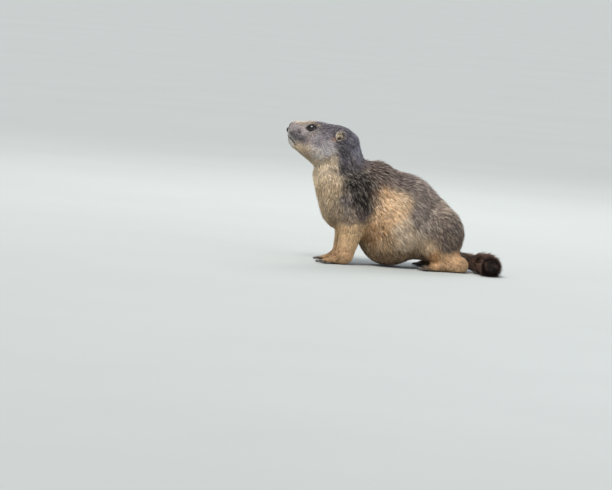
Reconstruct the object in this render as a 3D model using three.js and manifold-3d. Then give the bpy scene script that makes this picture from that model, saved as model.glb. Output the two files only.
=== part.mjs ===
// An alpine marmot at life size, propped on straight forelegs with its head raised and its
// hindquarters crouched, as faceted solids. Millimetres, +X to the nose, +Y to its left, +Z up.
import * as THREE from "three";
import { mergeVertices } from "three/addons/utils/BufferGeometryUtils.js";
import Module from "manifold-3d";

const wasm = await Module();
wasm.setup();

const at = (x, y, z) => new THREE.Vector3(x, y, z);

// Driving dimensions
const SKULL_HEIGHT = 191; // middle of the skull above the ground
const SKULL_REACH = 105; // middle of the skull ahead of the middle of the body
const HEAD_PITCH = 22.5; // degrees that the nose is raised
const HEAD_TURN = 7; // degrees that the nose points to its right
const WRIST_SPREAD = 33; // from the mid-line to each wrist
const HEEL_SPREAD = 46; // from the mid-line to each heel
const STRIDE = 5; // the left forefoot stands this far ahead of the right
const EYE_RADIUS = 8.4;
const EYE_BULGE = 2; // how far the eyeball stands out of the face
const TAIL_COAT = 17; // half the tail's thickness, out to the tips of its coat
const CROUCH_STAGGER = 7; // the left hind foot stands this far ahead of the right
const GAP = 0.3; // kept between neighbouring solids

// Grid steps of the faceted surfaces
const STEP = { trunk: 10.4, head: 4.9, foot: 6, tail: 6.5 };

// Colours of the solids
const COLOURS = {
  grizzled: 0x7d7168,
  slate: 0x6c676b,
  cream: 0xc4a884,
  tan: 0xb98f62,
  dark: 0x4a3c35,
  horn: 0x2a2420,
  eye: 0x120d0b,
};
const paint = (colour, roughness = 0.9) =>
  new THREE.MeshStandardMaterial({ color: COLOURS[colour], roughness, metalness: 0 });

// Fields: each is a function of a point, in mm, that is negative inside its shape

// An ellipsoid with the given half axes.
const blob = (centre, radii) => (p) => {
  const q = p.clone().sub(centre).divide(radii);
  const near = q.length();
  if (near < 1e-6) return -Math.min(radii.x, radii.y, radii.z);
  return (near * (near - 1)) / q.divide(radii).length();
};

// A cone with round ends from a to b; flat under 1 makes it narrower sideways, over 1 wider.
const limb = (a, b, radiusA, radiusB, flat = 1) => {
  const axis = b.clone().sub(a);
  const length2 = axis.lengthSq();
  return (p) => {
    const q = p.clone().sub(a);
    const t = THREE.MathUtils.clamp(q.dot(axis) / length2, 0, 1);
    q.addScaledVector(axis, -t);
    q.y /= flat;
    return q.length() - THREE.MathUtils.lerp(radiusA, radiusB, t);
  };
};

// Fields run together with a rounded joint about as wide as soft.
const blend = (soft, ...fields) => (p) =>
  fields.reduce((d, field) => {
    const e = field(p);
    const h = Math.max(soft - Math.abs(d - e), 0) / soft;
    return Math.min(d, e) - (h * h * soft) / 4;
  }, 1e9);

// The field on both sides of the mid-line.
const mirrored = (field) => (p) => field(at(p.x, Math.abs(p.y), p.z));

// A field whose own axes stand in the frame given by a matrix.
const posed = (matrix, field) => {
  const back = matrix.clone().invert();
  return (p) => field(p.clone().applyMatrix4(back));
};

// Surfaces and solids

// The closed surface of a field inside a box, from a grid of cubes: one vertex in each cube
// that the surface crosses, pulled onto it, and two triangles round each crossed grid edge.
function surface(field, low, high, step) {
  const span = high.clone().sub(low);
  const middle = low.clone().add(high).multiplyScalar(0.5);
  const inside = (p) =>
    Math.max(
      Math.abs(p.x - middle.x) - span.x / 2,
      Math.abs(p.y - middle.y) - span.y / 2,
      Math.abs(p.z - middle.z) - span.z / 2,
    );
  const whole = (p) => Math.max(field(p), inside(p));
  const size = span.clone().divideScalar(step).ceil().addScalar(4);
  const start = low.clone().subScalar(1.37 * step);
  const index = (i, j, k) => (k * size.y + j) * size.x + i;
  const corner = (i, j, k) => start.clone().add(at(i * step, j * step, k * step));
  const values = new Float64Array(size.x * size.y * size.z);
  for (let k = 0; k < size.z; k++)
    for (let j = 0; j < size.y; j++)
      for (let i = 0; i < size.x; i++) values[index(i, j, k)] = whole(corner(i, j, k));

  const slope = (p) => {
    const e = 0.05;
    const along = (axis) => {
      const q = p.clone();
      q[axis] += e;
      const ahead = whole(q);
      q[axis] -= 2 * e;
      return (ahead - whole(q)) / (2 * e);
    };
    return at(along("x"), along("y"), along("z"));
  };
  const vertices = [];
  const vertexOf = new Map();
  for (let k = 0; k < size.z - 1; k++)
    for (let j = 0; j < size.y - 1; j++)
      for (let i = 0; i < size.x - 1; i++) {
        const sum = at(0, 0, 0);
        let crossings = 0;
        for (let c = 0; c < 8; c++)
          for (const bit of [1, 2, 4]) {
            if (c & bit) continue;
            const ends = [c, c | bit].map((n) => [i + (n & 1), j + ((n >> 1) & 1), k + (n >> 2)]);
            const [va, vb] = ends.map((e) => values[index(...e)]);
            if (va < 0 === vb < 0) continue;
            sum.add(corner(...ends[0]).lerp(corner(...ends[1]), va / (va - vb)));
            crossings++;
          }
        if (!crossings) continue;
        const p = sum.divideScalar(crossings);
        for (let turn = 0; turn < 3; turn++) {
          const g = slope(p);
          const move = g.multiplyScalar(-whole(p) / Math.max(g.lengthSq(), 0.2));
          p.add(move.clampLength(0, step / 4));
        }
        vertexOf.set(index(i, j, k), vertices.length);
        vertices.push(p);
      }

  const triangles = [];
  const quad = (cells, flip) => {
    const [a, b, c, d] = cells.map((cell) => vertexOf.get(cell));
    const short = vertices[a].distanceTo(vertices[c]) <= vertices[b].distanceTo(vertices[d]);
    const pair = short ? [[a, b, c], [a, c, d]] : [[a, b, d], [b, c, d]];
    for (const t of pair) triangles.push(...(flip ? t.reverse() : t));
  };
  for (let k = 1; k < size.z - 1; k++)
    for (let j = 1; j < size.y - 1; j++)
      for (let i = 1; i < size.x - 1; i++) {
        const here = values[index(i, j, k)] < 0;
        if (here !== values[index(i + 1, j, k)] < 0)
          quad([index(i, j - 1, k - 1), index(i, j, k - 1), index(i, j, k), index(i, j - 1, k)], !here);
        if (here !== values[index(i, j + 1, k)] < 0)
          quad([index(i - 1, j, k - 1), index(i - 1, j, k), index(i, j, k), index(i, j, k - 1)], !here);
        if (here !== values[index(i, j, k + 1)] < 0)
          quad([index(i - 1, j - 1, k), index(i, j - 1, k), index(i, j, k), index(i - 1, j, k)], !here);
      }
  const geometry = new THREE.BufferGeometry().setFromPoints(vertices);
  return geometry.setIndex(triangles);
}

// A closed geometry as a solid that can be joined and cut.
function solidOf(geometry) {
  const bare = geometry.clone();
  for (const name of ["normal", "uv"]) bare.deleteAttribute(name);
  const merged = mergeVertices(bare, 1e-4);
  const mesh = new wasm.Mesh({
    numProp: 3,
    vertProperties: merged.attributes.position.array,
    triVerts: new Uint32Array(merged.index.array),
  });
  return new wasm.Manifold(mesh);
}

const bodyOf = (field, low, high, step) => solidOf(surface(field, low, high, step));

// The largest closed body of a solid, which drops any loose scrap.
const largest = (solid) => solid.decompose().sort((a, b) => b.volume() - a.volume())[0];

// A part of a solid on the side of a plane that its normal points to, half the gap off it.
const beyond = (solid, point, normal) => {
  const n = normal.clone().normalize();
  return solid.trimByPlane(n.toArray(), n.dot(point) + GAP / 2);
};
const before = (solid, point, normal) => beyond(solid, point, normal.clone().negate());

// A horn-like tube along a curve: its elliptical section shrinks to a point at the far end.
// profile(t) gives the share of the full section at each step, and swell grows it all over.
function taper(curve, wide, thick, sides, steps, side, swell = 0, profile = (t) => Math.sqrt(1 - t)) {
  const points = [];
  for (let s = 0; s < steps; s++) {
    const t = s / steps;
    const along = curve.getTangent(t);
    const across = side.clone().addScaledVector(along, -side.dot(along)).normalize();
    const up = along.clone().cross(across);
    const centre = curve.getPoint(t).addScaledVector(along, s === 0 ? -swell : 0);
    for (let n = 0; n < sides; n++) {
      const turn = (2 * Math.PI * n) / sides;
      points.push(
        centre
          .clone()
          .addScaledVector(across, (wide * profile(t) + swell) * Math.cos(turn))
          .addScaledVector(up, (thick * profile(t) + swell) * Math.sin(turn)),
      );
    }
  }
  points.push(curve.getPoint(1).addScaledVector(curve.getTangent(1), swell));
  points.push(curve.getPoint(0).addScaledVector(curve.getTangent(0), -swell));
  const tip = sides * steps;
  const root = tip + 1;
  const triangles = [];
  for (let n = 0; n < sides; n++) {
    const m = (n + 1) % sides;
    for (let s = 0; s < steps - 1; s++) {
      const [a, b, c, d] = [s * sides + n, s * sides + m, (s + 1) * sides + n, (s + 1) * sides + m];
      triangles.push(a, b, c, b, d, c);
    }
    triangles.push((steps - 1) * sides + n, (steps - 1) * sides + m, tip);
    triangles.push(m, n, root);
  }
  return new THREE.BufferGeometry().setFromPoints(points).setIndex(triangles);
}

// Plain closed shapes that the nodes are parted by; each can be swollen by a few tenths
const block = (low, high) => (swell) => {
  const size = high.clone().sub(low).addScalar(2 * swell);
  const middle = low.clone().add(high).multiplyScalar(0.5);
  return solidOf(new THREE.BoxGeometry(...size.toArray()).translate(...middle.toArray()));
};
const pill = (a, b, radius) => (swell) => {
  const shape = new THREE.CapsuleGeometry(radius + swell, a.distanceTo(b), 4, 14);
  const turn = new THREE.Quaternion().setFromUnitVectors(at(0, 1, 0), b.clone().sub(a).normalize());
  const middle = a.clone().add(b).multiplyScalar(0.5);
  return solidOf(shape.applyQuaternion(turn).translate(...middle.toArray()));
};
const prism = (corners, floor, top) => (swell) => {
  const flat = corners.map(([x, y]) => new THREE.Vector2(x, y));
  const middle = new THREE.Box2().setFromPoints(flat).getCenter(new THREE.Vector2());
  for (const corner of flat) {
    corner.x += Math.sign(corner.x - middle.x) * swell;
    corner.y += Math.sign(corner.y - middle.y) * swell;
  }
  const depth = top - floor + 2 * swell;
  const shape = new THREE.ExtrudeGeometry(new THREE.Shape(flat), { depth, bevelEnabled: false });
  return solidOf(shape.translate(0, 0, floor - swell));
};
const egg = (pose, radii, fineness = 16) => (swell) => {
  const shape = new THREE.SphereGeometry(1, fineness, Math.round(fineness * 0.6));
  shape.scale(...radii.clone().addScalar(swell).toArray());
  return solidOf(shape.applyMatrix4(pose));
};
const placedAt = (centre) => new THREE.Matrix4().setPosition(centre);
const both = (...zones) => (swell) => zones.map((zone) => zone(swell)).reduce((a, b) => a.add(b));

// Head, in its own axes: x to the nose, y to its left, z to the crown

const headTurn = new THREE.Euler(
  0,
  -THREE.MathUtils.degToRad(HEAD_PITCH),
  -THREE.MathUtils.degToRad(HEAD_TURN),
  "ZYX",
);
const headPose = new THREE.Matrix4().makeRotationFromEuler(headTurn);
headPose.setPosition(SKULL_REACH, 0, SKULL_HEIGHT);

const cranium = blob(at(-7.5, 0, 1), at(44, 33, 27));
const snout = limb(at(24, 0, 1), at(57, 0, -5), 22, 13.2, 1.14);
const upperLip = blob(at(57, 7, -10), at(12, 8.5, 9));
const underEye = blob(at(20, 17, -2), at(20, 12, 12));
const brow = limb(at(16, 15, 15.5), at(42, 10, 12.5), 7.5, 5);
const cheek = blob(at(6, 16, -17), at(29, 20, 21));
const jaw = limb(at(7, 0, -27), at(49, 0, -27), 17.5, 8);
const chin = blob(at(55, 0, -22.5), at(10, 6.5, 6));
const muzzle = blend(3, upperLip, chin);
const face = mirrored(blend(8, cranium, snout, brow, cheek, jaw, underEye, muzzle));

// The point of the face's skin that a ray from inside it meets, in the head's axes.
function onFace(from, way, depth = 0) {
  let [inner, outer] = [0, 80];
  for (let halving = 0; halving < 30; halving++) {
    const t = (inner + outer) / 2;
    if (face(from.clone().addScaledVector(way, t)) < 0) inner = t;
    else outer = t;
  }
  return from.clone().addScaledVector(way, inner - depth);
}

// Trunk

const neck = limb(at(91, 0, 178), at(86, 0, 136), 38.5, 42.5, 0.87);
const chest = blob(at(73, 0, 104), at(42.5, 43, 54));
const withers = blob(at(32, 0, 136), at(30, 32, 30));
const ribs = blob(at(20, 0, 99), at(57, 52, 64));
const back = blob(at(-26, 0, 92), at(52, 52, 57));
const belly = blob(at(-6, 0, 68), at(54, 64, 64));
const apron = blob(at(1, 0, 36), at(38, 46, 31));
const loin = blob(at(-50, 0, 79), at(40, 45, 48));
const rump = blob(at(-67, 0, 61), at(50, 48, 49));
const trunk = blend(16, chest, neck, withers, ribs, back, belly, apron, loin, rump);

// Legs, each with the zone that parts it from the trunk; side is 1 on the left, -1 on the right

function foreleg(side) {
  const ahead = side > 0 ? STRIDE : 0;
  const shoulder = at(66, side * 34, 122);
  const elbow = at(61 + ahead / 4, side * 36, 66);
  const wrist = at(66 + ahead, side * WRIST_SPREAD, 18);
  const upper = limb(shoulder, elbow, 23, 18.5);
  const lower = limb(elbow, wrist, 20, 15);
  const shoulderZone = egg(placedAt(at(62, side * 42, 98)), at(31, 36, 50));
  const armCorners = [[38, 64], [50, 13], [90, 13], [90, 64]];
  const armZone = prism(armCorners.map(([x, y]) => [x, side * y]), -10, 62);
  const zone = both(shoulderZone, armZone);
  const field = blend(8, upper, lower);
  return { side, name: "foreleg_", colour: "cream", end: wrist, zone, field };
}

function hindleg(side) {
  const hip = at(-83, side * 38, 59);
  const knee = at(-76, side * 50, 33);
  const heel = at(side > 0 ? -115 : -115 - CROUCH_STAGGER, side * HEEL_SPREAD, 13);
  const thigh = blob(hip, at(36.5, 24, 43));
  const kneeBulge = limb(hip, knee, 24, 19);
  const shank = limb(knee, heel, 16, 12.5);
  const thighZone = egg(placedAt(hip.clone().add(at(0, side * 4, -4))), at(47, 33, 56));
  const heelZone = pill(knee.clone().setX(-84), heel.clone().setZ(20), 20);
  const zone = both(thighZone, heelZone);
  const field = blend(8, thigh, kneeBulge, shank);
  return { side, name: "hindleg_", colour: "dark", end: heel, zone, field };
}

const forelegs = [foreleg(1), foreleg(-1)];
const hindlegs = [hindleg(1), hindleg(-1)];
const legs = [...forelegs, ...hindlegs];

// Feet: a sole and a fan of toes, each a knuckle and a tip that rests on the ground
const FORE = {
  name: "forefoot_", toes: 4, sole: at(17, 0, -3.5), soleHeight: 11, soleRadii: [11.5, 8.5],
  toeLength: 20, toeRadius: 4.1, splay: 0.34, clawLength: 13, clawRadius: 2.1,
  zoneLow: at(-20, -22, -10), zoneHigh: at(62, 22, 20),
};
const HIND = {
  name: "hindfoot_", toes: 5, sole: at(42, 4, -2), soleHeight: 9.5, soleRadii: [10.5, 9.5],
  toeLength: 21, toeRadius: 4, splay: 0.26, clawLength: 11, clawRadius: 2,
  zoneLow: at(-20, -17, -10), zoneHigh: at(80, 25, 17),
};

function foot({ side, end }, kind) {
  const outward = (v) => v.clone().multiply(at(1, side, 1));
  const heel = end.clone().setZ(kind.soleHeight);
  const ball = heel.clone().add(outward(kind.sole));
  const forward = ball.clone().sub(heel).setZ(0).normalize();
  const across = at(-forward.y, forward.x, 0);
  const [heelRadius, ballRadius] = kind.soleRadii;
  const toes = Array.from({ length: kind.toes }, (_, n) => {
    const share = (2 * n) / (kind.toes - 1) - 1;
    const reach = kind.toeLength * (1 - 0.22 * share * share);
    const way = forward.clone().addScaledVector(across, share * kind.splay).normalize();
    const root = ball.clone().addScaledVector(across, share * ballRadius * 0.95);
    const knuckle = root.clone().addScaledVector(way, reach * 0.5);
    const tip = root.clone().addScaledVector(way, reach);
    root.setZ(kind.toeRadius * 1.15);
    knuckle.setZ(kind.toeRadius * 1.5);
    tip.setZ(kind.toeRadius * 0.8);
    return { knuckle, root, tip, way };
  });
  const corners = [kind.zoneLow, kind.zoneHigh].map((c) => outward(c).add(heel));
  const zoneBox = new THREE.Box3().setFromPoints(corners);
  zoneBox.min.z = kind.zoneLow.z;
  zoneBox.max.z = kind.zoneHigh.z;
  const sole = limb(heel, ball, heelRadius, ballRadius);
  return { side, kind, toes, zoneBox, field: sole };
}

const feet = [...forelegs.map((leg) => foot(leg, FORE)), ...hindlegs.map((leg) => foot(leg, HIND))];

// A toe: a tube from the sole over its knuckle to a round tip that rests on the ground
function toeSolid({ root, knuckle, tip, way }, { toeRadius }) {
  const end = tip.clone().addScaledVector(way, toeRadius * 0.9);
  const start = root.clone().addScaledVector(way, -toeRadius);
  const curve = new THREE.CatmullRomCurve3([start, knuckle, tip, end]);
  const bulge = (t) => (1.05 - 0.12 * t) * Math.sqrt(1 - t ** 5) + 0.1 * Math.sin(3 * Math.PI * t) * (1 - t);
  return solidOf(taper(curve, toeRadius, toeRadius, 6, 5, at(-way.y, way.x, 0), 0, bulge));
}

// Claws: one curved horn on each toe, its tip just off the ground
function claw({ tip, way }, { clawLength, clawRadius }, swell) {
  const root = tip.clone().addScaledVector(way, -1.5);
  const middle = root.clone().addScaledVector(way, clawLength * 0.62).setZ(root.z + clawLength * 0.16);
  const end = root.clone().addScaledVector(way, clawLength).setZ(0.6);
  const curve = new THREE.QuadraticBezierCurve3(root, middle, end);
  return solidOf(taper(curve, clawRadius * 0.8, clawRadius * 1.15, 5, 3, at(-way.y, way.x, 0), swell));
}

// Tail: laid on the ground and curled to the left
const TAIL_PATH = new THREE.CatmullRomCurve3([
  at(-102, 0, 30),
  at(-122, 1, 20),
  at(-141, 14, 16),
  at(-153, 37, 16),
  at(-158, 64, 15),
  at(-155, 92, 13),
]);
const TAIL_JOINTS = 9;
const tailPoints = TAIL_PATH.getSpacedPoints(TAIL_JOINTS);

// The share of the tail's full radius at a share of its length: slim root, full end, round tip.
const tailSwell = (t) => {
  const brush = 0.5 + 0.56 * Math.sin(Math.PI * Math.min(1, t * 0.72));
  const rounding = Math.min(1, 3.4 - 2.8 * t);
  return brush * rounding;
};
const tailField = blend(
  4,
  ...tailPoints.slice(1).map((p, n) => {
    const [a, b] = [n / TAIL_JOINTS, (n + 1) / TAIL_JOINTS].map((t) => TAIL_COAT * tailSwell(t));
    return limb(tailPoints[n], p, a, b);
  }),
);

// The animal's whole outline, from which each node takes its share
const standing = blend(6, ...legs.map((leg) => leg.field), ...feet.map((f) => f.field));
const outline = blend(8, blend(10, trunk, standing), tailField);
const upperOutline = blend(14, posed(headPose, face), neck);

const model = new THREE.Group();

function add(name, solid, material) {
  const { vertProperties, triVerts } = largest(solid).getMesh();
  const geometry = new THREE.BufferGeometry();
  geometry.setAttribute("position", new THREE.BufferAttribute(new Float32Array(vertProperties), 3));
  geometry.setIndex(new THREE.BufferAttribute(new Uint32Array(triVerts), 1));
  geometry.computeVertexNormals();
  const mesh = new THREE.Mesh(geometry, material);
  mesh.name = name;
  model.add(mesh);
}

const sideName = (side) => (side > 0 ? "left" : "right");
const ground = (solid) => solid.trimByPlane([0, 0, 1], 0);

// Planes where head, neck and trunk part
const THROAT = { point: at(93, 0, 177), normal: at(0.48, 0, 0.88) };
const COLLAR = { point: at(83, 0, 146), normal: at(0.48, 0, 0.88) };

let rest = ground(bodyOf(outline, at(-150, -85, -6), at(160, 85, 215), STEP.trunk));

const tailZone = both(
  block(at(-240, -24, -30), at(-113, 24, 44)),
  block(at(-240, -24, -30), at(-131, 120, 60)),
);
const tailShape = bodyOf(outline, at(-215, -40, -10), at(-106, 105, 60), STEP.tail);
add("tail", ground(tailShape.intersect(tailZone(0))), paint("dark"));
rest = rest.subtract(tailZone(GAP));

for (const { side, kind, toes, zoneBox } of feet) {
  const zone = block(zoneBox.min, zoneBox.max);
  const room = zoneBox.clone().expandByScalar(STEP.foot);
  let solid = bodyOf(outline, room.min, room.max, STEP.foot).intersect(zone(0));
  rest = rest.subtract(zone(GAP));
  for (const toe of toes) solid = solid.add(toeSolid(toe, kind));
  solid = ground(solid);
  toes.forEach((toe, n) => {
    const order = side > 0 ? n : toes.length - 1 - n;
    add(`${kind.name}${sideName(side)}_claw_${order + 1}`, claw(toe, kind, 0), paint("horn", 0.4));
    solid = solid.subtract(claw(toe, kind, GAP));
  });
  add(kind.name + sideName(side), solid, paint("tan"));
}

for (const leg of legs) {
  add(leg.name + sideName(leg.side), rest.intersect(leg.zone(0)), paint(leg.colour));
  rest = rest.subtract(leg.zone(GAP));
}
add("neck", before(beyond(rest, COLLAR.point, COLLAR.normal), THROAT.point, THROAT.normal), paint("slate"));
add("torso", before(rest, COLLAR.point, COLLAR.normal), paint("grizzled"));

// The head's solid, to which lids and lips are joined before sockets, mouth and nostrils are cut
const headShape = bodyOf(upperOutline, at(35, -60, 130), at(185, 60, 232), STEP.head);
let head = beyond(headShape, THROAT.point, THROAT.normal);

// A frame in the head's axes with its z along a way out and its y as near to up as it can be.
function facing(centre, way, up) {
  const z = way.clone().normalize();
  const x = up.clone().cross(z).normalize();
  return new THREE.Matrix4().makeBasis(x, z.clone().cross(x), z).setPosition(centre).premultiply(headPose);
}

const LID = { across: 9.2, high: 5.2, thick: 2, out: 5 };
const EYE_WAY = at(0.26, 0.94, 0.22);
for (const side of [1, -1]) {
  const sided = (v) => v.clone().multiply(at(1, side, 1));
  const way = sided(EYE_WAY).normalize();
  const centre = onFace(sided(at(32, 4, 4.5)), way, EYE_RADIUS - EYE_BULGE);
  const eyeball = egg(facing(centre, way, at(0, 0, 1)), at(1, 1, 1).multiplyScalar(EYE_RADIUS), 14);
  const lids = new THREE.TorusGeometry(1, LID.thick / 7, 5, 14).scale(LID.across, LID.high, 7);
  lids.translate(0, 0, LID.out).applyMatrix4(facing(centre, way, at(-0.25, 0, 1)));
  head = head.add(solidOf(lids)).subtract(eyeball(GAP));
  add("eye_" + sideName(side), eyeball(0), paint("eye", 0.1));
}

// Mouth line, from corner to corner round the muzzle: lips raised on it, then the slit cut
const MOUTH = { hub: at(47, 0, 0), front: -15.5, drop: 14, corner: 118, lip: 2.2, slit: 0.9 };
const mouthPoint = (turn, depth) => {
  const share = Math.abs(turn) / MOUTH.corner;
  const angle = THREE.MathUtils.degToRad(turn);
  const from = MOUTH.hub.clone().setZ(MOUTH.front - MOUTH.drop * share ** 1.3);
  return onFace(from, at(Math.cos(angle), Math.sin(angle), 0), depth).applyMatrix4(headPose);
};
function mouthTube(radius, depth) {
  const turns = Array.from({ length: 17 }, (_, n) => (MOUTH.corner * (n - 8)) / 8);
  const extrudePath = new THREE.CatmullRomCurve3(turns.map((turn) => mouthPoint(turn, depth)));
  const section = new THREE.Shape().absellipse(0, 0, radius, radius, 0, 2 * Math.PI);
  const options = { steps: 14, curveSegments: 3, extrudePath, bevelEnabled: false };
  return solidOf(new THREE.ExtrudeGeometry(section, options));
}
head = head.add(mouthTube(MOUTH.lip, MOUTH.lip * 0.6)).subtract(mouthTube(MOUTH.slit, -0.1));

// Nose pad with comma-shaped nostrils
const noseAt = at(66, 0, -10);
const nosePad = egg(placedAt(noseAt).premultiply(headPose), at(6.5, 7, 5.6), 12);
let nose = nosePad(0);
for (const side of [1, -1]) {
  const nostrilAt = noseAt.clone().add(at(5.4, side * 3.6, 0.4));
  const nostril = facing(nostrilAt, at(1, side * 0.6, 0.1), at(0, -side * 0.4, 1));
  nose = nose.subtract(egg(nostril, at(1, 2, 3), 8)(0));
}
add("nose", nose, paint("horn", 0.5));
head = head.subtract(nosePad(GAP));

// Ears: low round cups that face out and forwards
const EAR = { centre: at(-11, 30, 16.5), way: at(0.5, 0.85, 0.1), up: at(-0.2, 0.35, 0.93) };
for (const side of [1, -1]) {
  const [centre, way, up] = [EAR.centre, EAR.way, EAR.up].map((v) => v.clone().multiply(at(1, side, 1)));
  const outside = egg(facing(centre, way, up), at(10, 9.6, 6), 13);
  const mouthOfEar = facing(centre.clone().addScaledVector(way.clone().normalize(), 3.6), way, up);
  const hollow = egg(mouthOfEar, at(7.8, 7.4, 6.4), 11);
  head = head.subtract(outside(GAP));
  add("ear_" + sideName(side), outside(0).subtract(hollow(0)), paint("tan"));
}
add("head", head, paint("slate"));

// The finished model stands with its box's bottom centre at the origin
const box = new THREE.Box3().setFromObject(model);
const centre = box.getCenter(at(0, 0, 0));
for (const mesh of model.children) mesh.geometry.translate(-centre.x, -centre.y, -box.min.z);

export default model;
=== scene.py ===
"""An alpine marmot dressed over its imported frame: one skin, a coat of tufts, eyes, lids, nose,
mouth, ears, whiskers and claws, on a plain pale floor. Metres; millimetres where a name says mm."""
import math
import bpy
import numpy as np
from mathutils import Matrix, Vector
from mathutils.bvhtree import BVHTree


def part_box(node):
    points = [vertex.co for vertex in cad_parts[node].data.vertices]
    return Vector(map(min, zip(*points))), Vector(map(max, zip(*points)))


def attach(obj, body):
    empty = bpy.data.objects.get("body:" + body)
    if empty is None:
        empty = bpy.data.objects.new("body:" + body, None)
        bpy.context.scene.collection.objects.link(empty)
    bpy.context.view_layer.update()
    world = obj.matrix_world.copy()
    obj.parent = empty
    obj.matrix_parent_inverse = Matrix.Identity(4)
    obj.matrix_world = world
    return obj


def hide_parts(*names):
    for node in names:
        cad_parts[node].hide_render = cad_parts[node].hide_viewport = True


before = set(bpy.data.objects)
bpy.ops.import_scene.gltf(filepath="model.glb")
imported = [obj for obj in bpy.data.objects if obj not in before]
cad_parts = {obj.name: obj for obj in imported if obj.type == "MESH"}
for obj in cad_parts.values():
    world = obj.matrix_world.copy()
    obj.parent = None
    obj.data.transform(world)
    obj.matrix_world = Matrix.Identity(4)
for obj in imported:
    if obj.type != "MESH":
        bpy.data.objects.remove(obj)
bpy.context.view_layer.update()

MM = 0.001
RANDOM = np.random.default_rng(7)

# Where the modeller's own origin, below the middle of the back, lies in the frame
EYE_MODELLED = np.array([136.22, 11.1, 210.89]) * MM
low, high = (np.array(corner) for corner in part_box("eye_left"))
ORIGIN = (low + high) / 2 - EYE_MODELLED


def place(x, y, z):
    """A point given in millimetres from the modeller's origin, in the frame."""
    return ORIGIN + np.array([x, y, z]) * MM


def unit(vectors):
    """Vectors divided by their lengths."""
    vectors = np.asarray(vectors, float)
    return vectors / np.maximum(np.linalg.norm(vectors, axis=-1, keepdims=True), 1e-12)


def box_centre(node):
    """The middle of a CAD node's box."""
    corners = [np.array(corner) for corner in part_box(node)]
    return (corners[0] + corners[1]) / 2


# Pieces and nodes

def triangle_piece(name, points, corners, finish, slot):
    """A smooth piece with its place in its mesh, riding on the still body: points and triangle
    corners are set as whole arrays."""
    mesh = bpy.data.meshes.new(name)
    mesh.vertices.add(len(points))
    mesh.vertices.foreach_set("co", np.asarray(points, np.float32).ravel())
    mesh.loops.add(corners.size)
    mesh.loops.foreach_set("vertex_index", np.asarray(corners, np.int32).ravel())
    mesh.polygons.add(len(corners))
    mesh.polygons.foreach_set("loop_start", np.arange(0, corners.size, 3, dtype=np.int32))
    mesh.update(calc_edges=True)
    mesh.validate()
    mesh.polygons.foreach_set("use_smooth", np.ones(len(mesh.polygons), bool))
    mesh.materials.append(finish)
    piece = bpy.data.objects.new(name, mesh)
    bpy.context.scene.collection.objects.link(piece)
    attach(piece, "root")
    return piece


def linear(colour):
    """An sRGB hex colour as linear red, green, blue and alpha."""
    parts = [int(colour[n:n + 2], 16) / 255 for n in (1, 3, 5)]
    return [c / 12.92 if c <= 0.04045 else ((c + 0.055) / 1.055) ** 2.4 for c in parts] + [1.0]


def node(tree, kind, settings=(), out=0, **links):
    """Adds a node and returns one of its outputs. Settings are properties, sockets or a ramp's stops
    by name; links feed sockets by name, or by number after an i, from an output or a plain value."""
    made = tree.nodes.new("ShaderNode" + kind)
    for key, value in dict(settings).items():
        if key == "stops":
            elements = made.color_ramp.elements
            while len(elements) < len(value):
                elements.new(0.5)
            for element, (position, colour) in zip(elements, value):
                element.position = position
                element.color = linear(colour) if isinstance(colour, str) else (colour, colour, colour, 1)
        elif hasattr(made, key):
            setattr(made, key, value)
        else:
            made.inputs[key].default_value = value
    for key, source in links.items():
        target = made.inputs[int(key[1:])] if key[1:].isdigit() else made.inputs[key]
        if isinstance(source, bpy.types.NodeSocket):
            tree.links.new(source, target)
        else:
            target.default_value = source
    return made.outputs[out]


def material(name, **surface):
    """An empty node material with a Principled surface; returns the material, tree and shader."""
    made = bpy.data.materials.new(name)
    made.use_nodes = True
    tree = made.node_tree
    shader = tree.nodes["Principled BSDF"]
    for key, value in surface.items():
        shader.inputs[key.replace("_", " ")].default_value = value
    return made, tree, shader


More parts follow.
